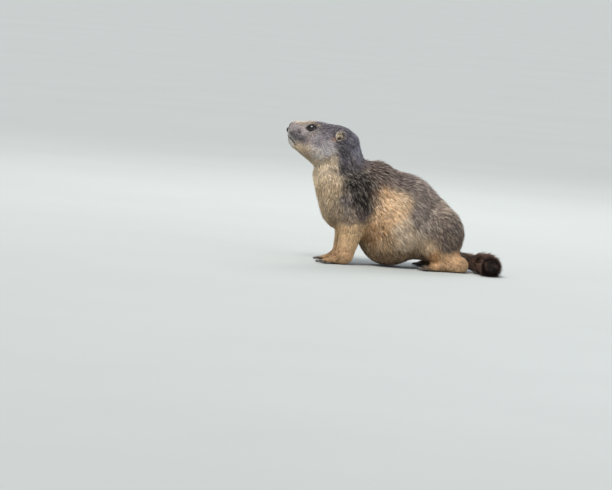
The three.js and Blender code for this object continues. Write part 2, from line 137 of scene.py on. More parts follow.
# Guides: where the coat is combed to, in mm from the modeller's origin or from the skull's middle.
# Each is a place, the way the hair lies there, and its length in mm; sides are mirrored.
TRUNK_GUIDES = [
    ((-20, 0, 150), (-1, 0, -0.25), 20),  # back
    ((30, 0, 166), (-1, 0, -0.2), 17),  # withers
    ((50, 0, 185), (-0.5, 0, -0.85), 13),  # nape
    ((-90, 0, 105), (-0.75, 0, -0.65), 22),  # rump
    ((-118, 0, 60), (-0.35, 0, -0.93), 20),  # behind
    ((50, 45, 120), (-0.35, 0.1, -0.93), 17),  # shoulder
    ((0, 52, 110), (-0.75, 0.1, -0.6), 22),  # upper flank
    ((0, 60, 60), (-0.65, 0, -0.75), 23),  # lower flank
    ((-40, 55, 80), (-0.7, 0, -0.7), 24),  # loin
    ((-10, 50, 25), (-0.5, -0.1, -0.8), 17),  # edge of the belly
    ((0, 0, 6), (-1, 0, 0), 9),  # belly
    ((-84, 62, 65), (-0.55, 0, -0.83), 19),  # thigh
    ((-60, 60, 35), (-0.5, 0, -0.85), 14),  # knee
    ((-95, 60, 22), (-0.85, 0, -0.45), 11),  # shank
    ((-112, 35, 45), (-0.4, 0.1, -0.9), 17),  # back of the thigh
    ((-122, 50, 15), (-0.5, 0, -0.85), 7),  # heel
    ((-85, 50, 15), (1, 0, -0.1), 4.5),  # hind instep
    ((-55, 50, 8), (1, 0, -0.2), 3),  # hind toes
    ((112, 0, 110), (-0.25, 0, -1), 16),  # breast
    ((95, 35, 110), (-0.3, 0.05, -0.95), 16),  # side of the breast
    ((125, 0, 150), (-0.25, 0, -1), 12),  # throat
    ((85, 38, 150), (-0.45, 0, -0.9), 14),  # side of the neck
    ((60, 28, 170), (-0.6, 0, -0.8), 14),  # back of the neck
    ((66, 52, 90), (-0.15, 0, -1), 13),  # upper arm
    ((52, 50, 65), (-0.3, 0, -0.95), 12),  # elbow
    ((72, 46, 40), (0, 0, -1), 9),  # forearm
    ((66, 16, 50), (0, 0, -1), 8),  # inside of the arm
    ((72, 44, 20), (0.2, 0, -1), 6),  # wrist
    ((92, 34, 14), (1, 0, -0.3), 4),  # back of the paw
    ((108, 34, 8), (1, 0, -0.25), 3),  # fingers
    ((60, 0, 55), (-0.6, 0, -0.8), 12),  # between the forelegs
]
HEAD_GUIDES = [
    ((64, 0, 7), (-1, 0, 0.15), 2),  # bridge of the nose
    ((58, 13, -5), (-1, 0.2, -0.1), 2.2),  # side of the muzzle
    ((62, 8, -14), (-0.8, 0.2, -0.5), 2.2),  # upper lip
    ((58, 0, -28), (-0.9, 0, -0.4), 2.5),  # chin
    ((45, 0, 17), (-1, 0, 0.25), 3),  # between the eyes
    ((24, 0, 25), (-1, 0, 0.1), 5),  # forehead
    ((34, 17, 19), (-1, 0.3, 0.1), 3),  # brow
    ((34, 21, 0), (-1, 0.2, -0.2), 3),  # under the eye
    ((0, 0, 28), (-1, 0, 0), 8),  # crown
    ((-40, 0, 20), (-0.8, 0, -0.6), 11),  # back of the head
    ((10, 34, -15), (-0.9, 0.2, -0.35), 8),  # cheek
    ((-15, 33, -18), (-0.8, 0.1, -0.6), 12),  # back of the cheek
    ((0, 31, 12), (-0.9, 0.2, 0.2), 5),  # before the ear
    ((-28, 28, 12), (-0.9, 0.1, -0.4), 9),  # behind the ear
    ((34, 10, -36), (-1, 0.1, -0.1), 5),  # jaw
    ((0, 0, -46), (-1, 0, -0.3), 10),  # gullet
]
TAIL_GUIDES = [
    ((-122, 1, 25), (-0.8, 0.3, -0.35), 19),
    ((-141, 14, 17), (-0.6, 0.75, -0.1), 26),
    ((-153, 37, 16), (-0.3, 0.95, 0), 30),
    ((-158, 64, 15), (-0.05, 1, 0), 30),
    ((-156, 84, 13), (0.15, 1, 0), 15),
    ((-154, 100, 12), (0.15, 1, 0), 5),
]

# Markings: the middle of each patch of colour, how far it reaches in mm, and its colour
TRUNK_MARKS = [
    ((50, 18, 182), 18, "#7F7A80"),  # nape, blue-grey
    ((70, 34, 170), 14, "#807779"),
    ((106, 30, 160), 15, "#EAD3B2"),  # side of the neck
    ((118, 14, 150), 22, "#F6E0BD"),  # throat
    ((108, 22, 112), 26, "#D0B794"),  # breast
    ((92, 34, 92), 20, "#B8A286"),
    ((86, 35, 156), 11, "#393134"),  # dark shoulder
    ((66, 40, 150), 14, "#2C2524"),
    ((70, 42, 134), 13, "#201B1A"),
    ((50, 46, 136), 13, "#241E1C"),
    ((60, 45, 116), 14, "#201B1A"),
    ((50, 48, 98), 10, "#302928"),
    ((78, 44, 108), 12, "#766A69"),
    ((54, 48, 92), 13, "#6A5C57"),
    ((74, 48, 84), 14, "#9C8A78"),  # upper arm
    ((70, 42, 50), 20, "#F2D0A2"),  # forearm
    ((70, 34, 22), 14, "#EEC496"),
    ((96, 34, 10), 16, "#A6845F"),  # forefoot
    ((112, 34, 4), 9, "#5A4638"),
    ((34, 10, 160), 24, "#62534B"),  # withers
    ((-6, 12, 150), 26, "#786860"),  # back
    ((-48, 12, 130), 28, "#93847A"),
    ((-84, 12, 104), 26, "#A39180"),  # rump
    ((-112, 12, 70), 24, "#7E6F62"),
    ((38, 50, 126), 9, "#7A6254"),  # pale flank patch
    ((20, 52, 127), 10, "#DBB282"),
    ((4, 55, 112), 15, "#F4D2A6"),
    ((2, 58, 98), 14, "#F2CEA3"),
    ((24, 56, 84), 14, "#E2BC8F"),
    ((30, 54, 64), 13, "#BE956A"),
    ((38, 48, 46), 13, "#AA8056"),  # front of the belly: orange-brown coat, darkened below with painted shade
    ((18, 58, 44), 14, "#C4A27A"),
    ((-14, 60, 68), 15, "#DCC5A8"),  # lower flank, streaked
    ((-25, 60, 46), 16, "#DCC6A9"),
    ((-37, 56, 92), 17, "#978980"),
    ((-52, 58, 40), 14, "#DCC2A0"),
    # underside of the belly: brown coat, darkened with painted shade
    ((0, 40, 14), 18, "#8A6C4C"),
    ((-30, 44, 16), 16, "#A08263"),
    ((-72, 58, 88), 18, "#857468"),  # thigh
    ((-94, 58, 68), 20, "#75675F"),
    ((-88, 62, 48), 14, "#75675E"),
    ((-66, 58, 26), 12, "#B78A5C"),  # knee
    ((-94, 58, 22), 17, "#F6CD9E"),  # shank
    ((-118, 48, 24), 16, "#E6BF94"),
    ((-90, 48, 8), 13, "#A38160"),  # hind foot
    # hind toes: coloured dark with painted shade
    ((-56, 48, 4), 12, "#4A3930"),
    ((40, 0, 60), 22, "#8F7355"),  # between the legs
]
HEAD_MARKS = [
    ((70, 0, -3), 4, "#3A302D"),  # round the nose pad
    ((68, 0, 3), 5, "#A4917F"),
    ((60, 0, 9), 8, "#D0C0AB"),  # bridge of the nose
    ((47, 0, 16), 9, "#B3A595"),
    ((62, 11, -3), 5, "#B9AFAE"),  # muzzle
    ((51, 16, -6), 2.6, "#6C6266"),  # dark streak
    ((45, 18, -3), 5, "#C9BFBA"),  # pale before the eye
    ((57, 13, -14), 5, "#857B7F"),
    ((68, 4, -13.5), 2.2, "#3A302D"),  # below the nose pad
    ((44, 18, -14), 7, "#9D9394"),
    ((67, 5, -17), 4, "#F0ECE4"),  # white lips
    ((63, 6, -23), 5, "#EDE8DF"),
    ((58, 4, -29), 6, "#E8E1D4"),
    ((60, 7, -21), 2, "#40332E"),  # dark line of the mouth: dark lip skin and painted shadow of the lips
    ((55, 10, -24.5), 2.2, "#40332E"),
    ((50, 12, -28), 2.6, "#3C2F2A"),
    ((44, 14, -31), 3, "#4E3E36"),
    ((34, 13, -35), 7, "#C4AA8C"),  # brown jaw
    ((23, 17, -35), 9, "#C6AE92"),
    ((29, 19, 18), 3, "#AE9A88"),  # pale line over the eye
    ((38, 16, 16), 2.6, "#B09B88"),
    ((36, 21, 1), 4, "#B3A9A4"),
    ((44, 20, 4.5), 2.6, "#251D1B"),  # dark front corner of the eye
    ((31, 24, 0), 2.6, "#9A887E"),  # brown line under the eye
    ((24, 14, 22), 8, "#686269"),  # brow and crown
    ((11, 14, 27), 12, "#5D5860"),
    ((-12, 14, 27), 14, "#5B5760"),
    ((-30, 14, 22), 14, "#75717B"),
    ((-44, 12, 10), 15, "#9592A0"),  # nape
    ((18, 29, -5), 9, "#ABA2A4"),  # cheek
    ((3, 33, -11), 11, "#CFC8C6"),
    ((10, 28, -23), 10, "#DACFC2"),
    ((8, 24, -35), 10, "#E6D1B0"),
    ((12, 30, 8), 7, "#857D83"),
    ((-24, 32, -1), 10, "#615C62"),  # dark behind the ear
    ((-27, 32, -14), 10, "#6A656D"),
    ((-8, 34, 3), 5, "#7E777B"),
    ((-1, 32, 9), 3, "#B37E5A"),  # rusty spot before the ear
    ((4, 30, 18), 6, "#6A6367"),
    ((-10, 34, -30), 10, "#D2BFA6"),
    ((36, 4, -40), 12, "#E2CCAB"),  # under the jaw
    ((4, 8, -46), 18, "#F0DAB8"),
]
TAIL_MARKS = [
    ((-118, 4, 30), 16, "#7D6350"),
    ((-138, 14, 18), 15, "#5E4A3F"),
    ((-153, 38, 16), 17, "#6A4F40"),
    ((-158, 64, 15), 15, "#4A3A33"),
    ((-156, 92, 13), 16, "#231D1B"),
]

# Head axes: x to the nose, y to its left, z to the crown
SKULL = place(105, 0, 191)
PITCH, TURN = math.radians(22.5), math.radians(7)
HEAD_AXES = np.array([
    [math.cos(PITCH) * math.cos(TURN), math.sin(TURN), -math.sin(PITCH) * math.cos(TURN)],
    [-math.cos(PITCH) * math.sin(TURN), math.cos(TURN), math.sin(PITCH) * math.sin(TURN)],
    [math.sin(PITCH), 0, math.cos(PITCH)],
])  # columns are the head's axes


def head_place(x, y, z):
    """A point given in millimetres in the head's axes, in the frame."""
    return SKULL + HEAD_AXES @ (np.array([x, y, z]) * MM)


class Guide:
    """A set of guides or marks in one frame of axes, folded over its mid-plane unless one-sided."""

    def __init__(self, rows, origin, axes, folded=True):
        self.places = np.array([row[0] for row in rows], float) * MM
        self.rows, self.origin, self.axes, self.folded = rows, origin, axes, folded

    def local(self, points):
        """Points in the set's own axes, with the side that each lies on."""
        own = (points - self.origin) @ self.axes
        side = np.where(own[:, 1] < 0, -1.0, 1.0) if self.folded else np.ones(len(own))
        own[:, 1] *= side
        return own, side


GUIDE_SETS = [
    Guide(TRUNK_GUIDES, ORIGIN, np.eye(3)),
    Guide(HEAD_GUIDES, SKULL, HEAD_AXES),
    Guide(TAIL_GUIDES, ORIGIN, np.eye(3), folded=False),
]
MARK_SETS = [
    Guide(TRUNK_MARKS, ORIGIN, np.eye(3)),
    Guide(HEAD_MARKS, SKULL, HEAD_AXES),
    Guide(TAIL_MARKS, ORIGIN, np.eye(3), folded=False),
]


def combed(points):
    """The lie and length of the hair at points: the guides' mean, weighted by distance to the -4."""
    lie = np.zeros((len(points), 3))
    length = np.zeros(len(points))
    total = np.zeros(len(points))
    for guide in GUIDE_SETS:
        own, side = guide.local(points)
        ways = unit([row[1] for row in guide.rows])
        hairs = np.array([row[2] for row in guide.rows], float) * MM
        gaps = ((own[:, None, :] - guide.places[None]) ** 2).sum(2)
        weight = 1 / (gaps + (6 * MM) ** 2) ** 2
        way = weight @ ways
        way[:, 1] *= side
        lie += way @ guide.axes.T
        length += weight @ hairs
        total += weight.sum(1)
    return lie / total[:, None], length / total


def marked(points):
    """The coat's colour at points: the marks' mean, weighted by (distance / reach) to the -6."""
    colour = np.zeros((len(points), 3))
    total = np.zeros(len(points))
    for marks in MARK_SETS:
        own, _ = marks.local(points)
        reach = np.array([row[1] for row in marks.rows], float) * MM
        inks = np.array([linear(row[2])[:3] for row in marks.rows])
        gaps = ((own[:, None, :] - marks.places[None]) ** 2).sum(2) / reach**2
        weight = 1 / (gaps + 0.05) ** 3
        colour += weight @ inks
        total += weight.sum(1)
    return colour / total[:, None]


def in_slices(function, points, size=20000):
    """A function of points worked out a slice at a time, to keep its tables small."""
    parts = [function(points[n:n + size]) for n in range(0, len(points), size)]
    if isinstance(parts[0], tuple):
        return tuple(np.concatenate(group) for group in zip(*parts))
    return np.concatenate(parts)


# The skin

FLESH = ["head", "neck", "torso", "tail"]
LIMBS = ("foreleg_", "hindleg_", "forefoot_", "hindfoot_")
FLESH += [part + side for part in LIMBS for side in ("left", "right")]
VOXEL = 1.7 * MM
GAP_SHARE = 0.25 * MM  # how far each node is swollen, to close the gaps between the nodes
SMOOTH_ROUNDS = 34
SMOOTHEST_HAIR = 22 * MM  # the longer the hair, the more of the solids' facets are smoothed away


def mesh_arrays(mesh):
    """The points and triangle corners of a mesh."""
    points = np.empty(len(mesh.vertices) * 3, np.float32)
    mesh.vertices.foreach_get("co", points)
    mesh.calc_loop_triangles()
    corners = np.empty(len(mesh.loop_triangles) * 3, np.int32)
    mesh.loop_triangles.foreach_get("vertices", corners)
    return points.reshape(-1, 3).astype(float), corners.reshape(-1, 3)


def merged(points, corners):
    """The same triangles with points less than a hundredth of a millimetre apart made one."""
    _, first, same = np.unique(np.round(points / (0.01 * MM)).astype(np.int64), axis=0,
                               return_index=True, return_inverse=True)
    corners = same.reshape(-1)[corners]
    a, b, c = corners.T
    return points[first], corners[(a != b) & (b != c) & (a != c)]


def outward(points, corners):
    """The unit normal at each point: the mean of its triangles' normals, weighted by area."""
    a, b, c = (points[corners[:, n]] for n in range(3))
    faces = np.cross(b - a, c - a)
    each = np.repeat(faces, 3, 0)
    total = [np.bincount(corners.ravel(), each[:, n], len(points)) for n in range(3)]
    return unit(np.stack(total, 1))


def remeshed(points, corners, voxel):
    """A closed body's voxel remesh, as points and triangle corners."""
    mesh = bpy.data.meshes.new("shell")
    mesh.from_pydata(points.tolist(), [], corners.tolist())
    shell = bpy.data.objects.new("shell", mesh)
    bpy.context.scene.collection.objects.link(shell)
    remesh = shell.modifiers.new("remesh", "REMESH")
    remesh.mode = "VOXEL"
    remesh.voxel_size = voxel
    made = shell.evaluated_get(bpy.context.evaluated_depsgraph_get()).to_mesh()
    result = mesh_arrays(made)
    bpy.data.objects.remove(shell)
    bpy.data.meshes.remove(mesh)
    return result


def largest_body(points, corners):
    """Only the triangles of the largest connected body, by spreading the lowest label along edges."""
    label = np.arange(len(points))
    while True:
        low = label[corners].min(1)
        new = label.copy()
        np.minimum.at(new, corners.ravel(), np.repeat(low, 3))
        new = new[new]
        if (new == label).all():
            break
        label = new
    kept = label[corners[:, 0]] == np.bincount(label[corners[:, 0]]).argmax()
    used, corners = np.unique(corners[kept], return_inverse=True)
    return points[used], corners.reshape(-1, 3)


def edge_pairs(corners):
    """Each edge of the triangles once, as two point numbers."""
    pairs = np.concatenate([corners[:, [0, 1]], corners[:, [1, 2]], corners[:, [2, 0]]])
    return np.unique(np.sort(pairs, 1), axis=0)


def relaxed(values, pairs, rounds, share=0.5):
    """Values at the points moved towards the mean of their neighbours', some rounds over."""
    count = len(values)
    ends = np.concatenate([pairs[:, 0], pairs[:, 1]])
    others = np.concatenate([pairs[:, 1], pairs[:, 0]])
    degree = np.maximum(np.bincount(ends, minlength=count), 1)
    flat = values.reshape(count, -1).copy()
    share = np.broadcast_to(np.asarray(share, float).reshape(-1, 1), (count, 1))
    for _ in range(rounds):
        mean = np.stack([np.bincount(ends, flat[others, n], count) for n in range(flat.shape[1])], 1)
        flat += share * (mean / degree[:, None] - flat)
    return flat.reshape(values.shape)


def body_shell():
    """The nodes' outer surface as one closed mesh, each node first swollen over the gaps."""
    all_points, all_corners, start = [], [], 0
    for name in FLESH:
        points, corners = merged(*mesh_arrays(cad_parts[name].data))
        points = points + outward(points, corners) * GAP_SHARE
        all_points.append(points)
        all_corners.append(corners + start)
        start += len(points)
    return largest_body(*remeshed(np.concatenate(all_points), np.concatenate(all_corners), VOXEL))


shell, skin_corners = body_shell()
skin_pairs = edge_pairs(skin_corners)
print("skin points", len(shell), "triangles", len(skin_corners))
_, shell_hair = in_slices(combed, shell)
shell = relaxed(shell, skin_pairs, SMOOTH_ROUNDS, np.clip(shell_hair / SMOOTHEST_HAIR, 0.1, 0.6))

# How far under the solids' surface the skin lies: a share of the hair's length, to a limit
DEPTH_SHARE, DEPTH_LEAST, DEPTH_MOST = 0.3, 0.25 * MM, 8 * MM
depth = np.minimum(DEPTH_SHARE * shell_hair + DEPTH_LEAST, DEPTH_MOST)
depth = relaxed(depth, skin_pairs, 10)
skin_points = shell - relaxed(outward(shell, skin_corners), skin_pairs, 4) * depth[:, None]
skin_points = relaxed(skin_points, skin_pairs, 3, 0.4)

# Eyes: how the lids lie over the ball, which the skin follows round the opening

EYE_RADIUS = 8.4 * MM
EYE_WAY = np.array([0.26, 0.94, 0.22])  # where it looks, in the head's axes
LID_UP = np.array([0.42, 0, 0.91])  # square to the opening, whose long way runs back and up
LID = {"across": 7.9 * MM, "high": 3.7 * MM, "thick": 0.85 * MM, "wide": 1.5 * MM, "level": 5.9 * MM}
SKIN_OVER_BALL, SKIN_UNDER_BALL = 0.45 * MM, 1.2 * MM


def eye_frame(side):
    """The ways along, across and out of the eye's opening in the frame, as columns."""
    out = unit(HEAD_AXES @ (EYE_WAY * [1, side, 1]))
    across = unit(np.cross(HEAD_AXES @ LID_UP, out))
    return np.stack([across, np.cross(out, across), out], 1)


def over_eyes(points):
    """The skin raised onto a sphere just over each ball round the opening, and sunk inside it."""
    for side, word in ((1, "left"), (-1, "right")):
        centre, axes = box_centre("eye_" + word), eye_frame(side)
        own = (points - centre) @ axes
        flat2 = own[:, 0] ** 2 + own[:, 1] ** 2
        near = (flat2 < (EYE_RADIUS * 0.97) ** 2) & (own[:, 2] > 0)
        opening = (own[:, 0] / LID["across"]) ** 2 + (own[:, 1] / LID["high"]) ** 2 < 1
        over = np.sqrt(np.maximum((EYE_RADIUS + SKIN_OVER_BALL) ** 2 - flat2, 0))
        under = np.sqrt(np.maximum((EYE_RADIUS - SKIN_UNDER_BALL) ** 2 - flat2, 0))
        own[:, 2] = np.where(near & ~opening, np.maximum(own[:, 2], over), own[:, 2])
        own[:, 2] = np.where(near & opening, np.minimum(own[:, 2], under), own[:, 2])
        points = np.where(near[:, None], centre + own @ axes.T, points)
    return points


skin_points = over_eyes(skin_points)
skin_lie, skin_hair = in_slices(combed, skin_points)
skin_marking = in_slices(marked, skin_points)


def in_mm(points):
    """Points in millimetres from the modeller's origin, and in millimetres in the head's axes."""
    return (points - ORIGIN) / MM, (points - SKULL) @ HEAD_AXES / MM


def region_of(points):
    """Which coat each point belongs to: 0 body, 1 head, 2 tail, 3 forelegs, 4 hind legs, 5 feet."""
    own, head = in_mm(points)
    x, y, z = own.T
    region = np.zeros(len(points), int)
    region[(((head - [8, 0, -8]) / [76, 47, 45]) ** 2).sum(1) < 1] = 1
    region[(x < -118) & (abs(y - 2) < 22) & (z < 42) | (x < -133) & (y > -24) & (z < 60)] = 2
    region[(x > 38) & (z < 84) & (abs(y) > 10) & (region == 0)] = 3
    region[(x < -52) & (z < 72) & (abs(y) > 14) & (region == 0)] = 4
    region[((x > 38) & (z < 20) | (x < -20) & (x > -132) & (z < 17) & (abs(y) > 22)) & (region != 2)] = 5
    return region


# Islands of the coat's unwrap: axis start and end in mm, and the corner and size of each in the map
ISLANDS = [
    ((-125, 0, 75), (100, 0, 110), (0.02, 0.46), (0.96, 0.52)),
    ((170, 9, 165), (60, -4, 210), (0.02, 0.02), (0.26, 0.40)),
    ((-115, 0, 30), (-155, 100, 12), (0.31, 0.02), (0.15, 0.40)),
    ((66, 0, 100), (66, 0, 10), (0.49, 0.02), (0.15, 0.40)),
    ((-80, 0, 80), (-110, 0, 10), (0.67, 0.02), (0.15, 0.40)),
    ((130, 0, 6), (-130, 0, 6), (0.85, 0.02), (0.13, 0.40)),
]


def unwrapped(points, region):
    """The unwrap of the skin: the way along each island's axis, and the turn about that axis."""
    own, _ = in_mm(points)
    result = np.zeros((len(points), 2))
    for number, (start, end, corner, size) in enumerate(ISLANDS):
        start, end = np.array(start, float), np.array(end, float)
        way = unit(end - start)
        side = unit(np.cross(way, [0, 0, 1]))
        over = np.cross(side, way)
        inside = region == number
        gap = own[inside] - start
        along = np.clip(gap @ way / np.linalg.norm(end - start), -0.2, 1.2) / 1.4 + 0.143
        if number in (3, 4):  # each leg turns about its own middle, the left in the upper half
            turn = np.arctan2(gap @ over, abs(gap @ side) - 38) / (2 * math.pi) + 0.5
            turn = turn * 0.49 + (gap @ side > 0) * 0.5
        else:
            turn = np.arctan2(gap @ side, gap @ over) / (2 * math.pi) + 0.5
        result[inside] = np.array(corner) + np.stack([along * size[0], turn * size[1]], 1) * 0.97
    return result


def curvature_along(points, normals, pairs, ways):
    """The surface's bend along a way at each point: how fast the normal turns that way, by edges."""
    a = np.concatenate([pairs[:, 0], pairs[:, 1]])
    b = np.concatenate([pairs[:, 1], pairs[:, 0]])
    step = ((points[b] - points[a]) * ways[a]).sum(1)
    turn = ((normals[b] - normals[a]) * ways[a]).sum(1)
    over = np.bincount(a, turn * step, len(points))
    under = np.bincount(a, step * step, len(points))
    return relaxed(over / np.maximum(under, 1e-12), pairs, 6)


BENDS = (-15, 45)  # per metre: the most that a tuft curls off the body and round it


class Surface:
    """A skin with what the coat needs at its points: normals, lie, hair, depth, colour and bend."""

    def __init__(self, points, corners, pairs, lie, hair, depth, colour):
        self.points, self.corners = points, corners
        self.normals = unit(relaxed(outward(points, corners), pairs, 6))
        flat = lie - (lie * self.normals).sum(1, keepdims=True) * self.normals
        self.ways = unit(flat)
        self.bend = np.clip(curvature_along(points, self.normals, pairs, self.ways), *BENDS)
        self.hair, self.depth, self.colour = hair, depth, colour

    def sown(self, count, weight):
        """Seeded roots spread by area and weight, each with the mean of its triangle's three points."""
        a, b, c = (self.points[self.corners[:, n]] for n in range(3))
        area = np.linalg.norm(np.cross(b - a, c - a), axis=1) * weight[self.corners].mean(1)
        picked = RANDOM.choice(len(area), count, p=area / area.sum())
        u, v = RANDOM.random((2, count))
        flip = u + v > 1
        u[flip], v[flip] = 1 - u[flip], 1 - v[flip]
        shares = np.stack([1 - u - v, u, v], 1)
        trio = self.corners[picked]

        def mean(values):
            return np.einsum("ij,ij...->i...", shares, values[trio])

        return {
            "root": mean(self.points), "normal": unit(mean(self.normals)), "way": unit(mean(self.ways)),
            "hair": mean(self.hair), "depth": mean(self.depth), "colour": mean(self.colour),
            "bend": mean(self.bend),
        }


SUNK = 0.8 * MM  # how deep a tuft's root sits in the skin
FLOOR_HAIR = 0.7 * MM  # the lowest that a tuft's middle line lies over the floor
LOCK_SHARE = 0.6  # of the tufts in a lock, how many have its shade instead of their own
TUFT_STEPS = (0.0, 0.45, 1.0)
TUFT_WIDTHS = (0.75, 1.0)
TUFT_FACES = [(0, 2, 1), (3, 4, 6), (4, 5, 6), (5, 3, 6)]
for n, m in ((0, 1), (1, 2), (2, 0)):
    TUFT_FACES += [(n, m, m + 3), (n, m + 3, n + 3)]
TUFT_FACES = np.array(TUFT_FACES)
TUFT_ACROSS = np.array([0.0, 1.0, 0.5, 0.0, 1.0, 0.5, 0.5])
TUFT_ALONG = np.repeat(TUFT_STEPS, (3, 3, 1))
TUFT_PATCH = 0.003  # each tuft's size on the unwrap


def tufts(seeds, width, clump, clump_cell, stray):
    """Three-sided tufts as arrays: points, corners, way along, colour, shade and map place.

    Each runs s along the skin and h over it, from h = -SUNK at its root, rising by the coat's
    depth and levelling towards the tip, and sinks by bend * s * s / 2 to follow the body round.
    Tips in one cell of space are drawn together as a lock.
    """
    count = len(seeds["root"])
    normal, way = seeds["normal"], seeds["way"]
    side = np.cross(normal, way)
    swing = RANDOM.normal(0, stray, count)[:, None]
    way = unit(way * np.cos(swing) + side * np.sin(swing))
    side = np.cross(normal, way)
    hair = (seeds["hair"] * RANDOM.uniform(0.72, 1.15, count))[:, None]
    rise = (seeds["depth"] * np.clip(RANDOM.normal(1, 0.22, count), 0.4, 1.5))[:, None]
    reach = np.sqrt(np.maximum(hair**2 - rise**2, (0.4 * hair) ** 2))
    bend = seeds["bend"][:, None]
    spine = []
    for t in TUFT_STEPS:
        s = reach * t
        h = -SUNK * (1 - t) ** 2 + rise * (1.6 * t - 0.6 * t * t)
        middle = seeds["root"] + way * s + normal * (h - 0.5 * bend * s * s)
        middle[:, 2] = np.maximum(middle[:, 2], FLOOR_HAIR)
        spine.append(middle)
    cell = np.round(spine[-1] / clump_cell + RANDOM.uniform(-0.15, 0.15, (count, 3))).astype(np.int64)
    _, cell = np.unique(cell, axis=0, return_inverse=True)
    cell = cell.reshape(-1)
    size = np.bincount(cell)
    mean = np.stack([np.bincount(cell, spine[-1][:, n]) for n in range(3)], 1) / size[:, None]
    in_lock = RANDOM.random(count) < LOCK_SHARE
    shade = np.where(in_lock, RANDOM.random(len(size))[cell], RANDOM.random(count))
    pull = mean[cell] - spine[-1]
    wide = (width * RANDOM.uniform(0.7, 1.3, count))[:, None]
    rings = []
    for t, middle, share in zip(TUFT_STEPS, spine, TUFT_WIDTHS):
        centre = middle + pull * clump * t * t
        half = wide * share / 2
        rings.append(np.stack([centre - side * half, centre + side * half, centre + normal * half * 0.7], 1))
    rings.append((spine[-1] + pull * clump)[:, None])
    points = np.concatenate(rings, 1)
    each = points.shape[1]
    corners = (TUFT_FACES[None] + (np.arange(count) * each)[:, None, None]).reshape(-1, 3)
    patch = np.stack([TUFT_ACROSS, TUFT_ALONG], 1) * TUFT_PATCH
    return {
        "points": points.reshape(-1, 3), "corners": corners,
        "along": np.tile(TUFT_ALONG, count), "colour": np.repeat(seeds["colour"], each, 0),
        "shade": np.repeat(shade, each),
        "map": (np.repeat(seeds["map"][:, None], each, 1) + patch[None]).reshape(-1, 2),
    }


def set_attribute(mesh, name, kind, values):
    """Stores one value a point under a name, as a float or a colour."""
    layer = mesh.attributes.new(name, kind, "POINT")
    values = np.asarray(values, np.float32)
    if kind == "FLOAT_COLOR":
        values = np.concatenate([values, np.ones((len(values), 1), np.float32)], 1)
        layer.data.foreach_set("color", values.ravel())
    else:
        layer.data.foreach_set("value", values.ravel())


def coat_piece(name, made, finish, slot):
    """One coat piece from tuft arrays, with its attributes and its OFBake map."""
    piece = triangle_piece(name, made["points"], made["corners"], finish, slot)
    mesh = piece.data
    set_attribute(mesh, "marking", "FLOAT_COLOR", made["colour"])
    set_attribute(mesh, "along", "FLOAT", made["along"])
    set_attribute(mesh, "shade", "FLOAT", made["shade"])
    layer = mesh.uv_layers.new(name="OFBake")
    layer.data.foreach_set("uv", made["map"][made["corners"].ravel()].astype(np.float32).ravel())
    return piece


# Materials

MULTIPLIED = {"data_type": "RGBA", "blend_type": "MULTIPLY"}
BLENDED = {"data_type": "RGBA", "blend_type": "MIX"}
COAT_BLOTCH = 14 * MM
FELT_GRAIN = 1.1 * MM
BLACK_HAIR = "#241D1B"


def hair_material(name, tip, tip_share, dark_share, root, roughness, gain):
    """Guard hairs over underfur: dark at the root, then the marking's colour. A share of them has
    pale tips, more so where the coat is pale, and a share is black, more so where it is dark."""
    made, tree, shader = material(name, Roughness=roughness, Specular_IOR_Level=0.28)
    marking = node(tree, "Attribute", {"attribute_name": "marking"}, "Color")
    along = node(tree, "Attribute", {"attribute_name": "along"}, "Fac")
    shade = node(tree, "Attribute", {"attribute_name": "shade"}, "Fac")
    spot = node(tree, "TexCoord", out="Object")
    blotches = node(tree, "TexNoise", {"Scale": 1 / COAT_BLOTCH, "Detail": 3}, Vector=spot)
    colour = marking
    for source, stops in (
        (along, [(0, root), (0.45, 0.8), (1, 1)]),
        (blotches, [(0.3, 0.72), (0.7, 1)]),
        (shade, [(0, 0.62), (0.5, 0.92), (1, 1)]),
    ):
        factor = node(tree, "ValToRGB", {"stops": stops}, Fac=source)
        colour = node(tree, "Mix", MULTIPLIED, 2, i0=1.0, i6=colour, i7=factor)
    paleness = node(tree, "RGBToBW", Color=marking)
    for test, limit, power, slope, least, ink in (
        ("GREATER_THAN", 1 - tip_share, 1.6, 0.5, 0.42, tip),
        ("LESS_THAN", dark_share, 0.7, -0.6, 0.8, BLACK_HAIR),
    ):
        share = node(tree, "Math", {"operation": test}, i0=shade, i1=limit)
        rise = node(tree, "Math", {"operation": "POWER"}, i0=along, i1=power)
        ground = node(tree, "Math", {"operation": "MULTIPLY_ADD"}, i0=paleness, i1=slope, i2=least)
        for factor in (rise, ground):
            share = node(tree, "Math", {"operation": "MULTIPLY"}, i0=share, i1=factor)
        colour = node(tree, "Mix", BLENDED, 2, i0=share, i6=colour, i7=linear(ink))
    colour = node(tree, "Mix", MULTIPLIED, 2, i0=1.0, i6=colour, i7=(gain, gain * 0.985, gain, 1))
    tree.links.new(colour, shader.inputs["Base Color"])
    return made


def underfur_material(name):
    """Felted underfur: the coat's markings darkened in fine specks, with a bump at the same scale."""
    made, tree, shader = material(name, Roughness=0.9, Specular_IOR_Level=0.1)
    marking = node(tree, "Attribute", {"attribute_name": "marking"}, "Color")
    spot = node(tree, "TexCoord", out="Object")
    specks = node(tree, "TexNoise", {"Scale": 1 / FELT_GRAIN, "Detail": 4}, Vector=spot)
    factor = node(tree, "ValToRGB", {"stops": [(0.3, 0.28), (0.7, 0.7)]}, Fac=specks)
    colour = node(tree, "Mix", MULTIPLIED, 2, i0=1.0, i6=marking, i7=factor)
    tree.links.new(colour, shader.inputs["Base Color"])
    bump = node(tree, "Bump", {"Strength": 0.6, "Distance": 0.4 * MM}, Height=specks)
    tree.links.new(bump, shader.inputs["Normal"])
    return made


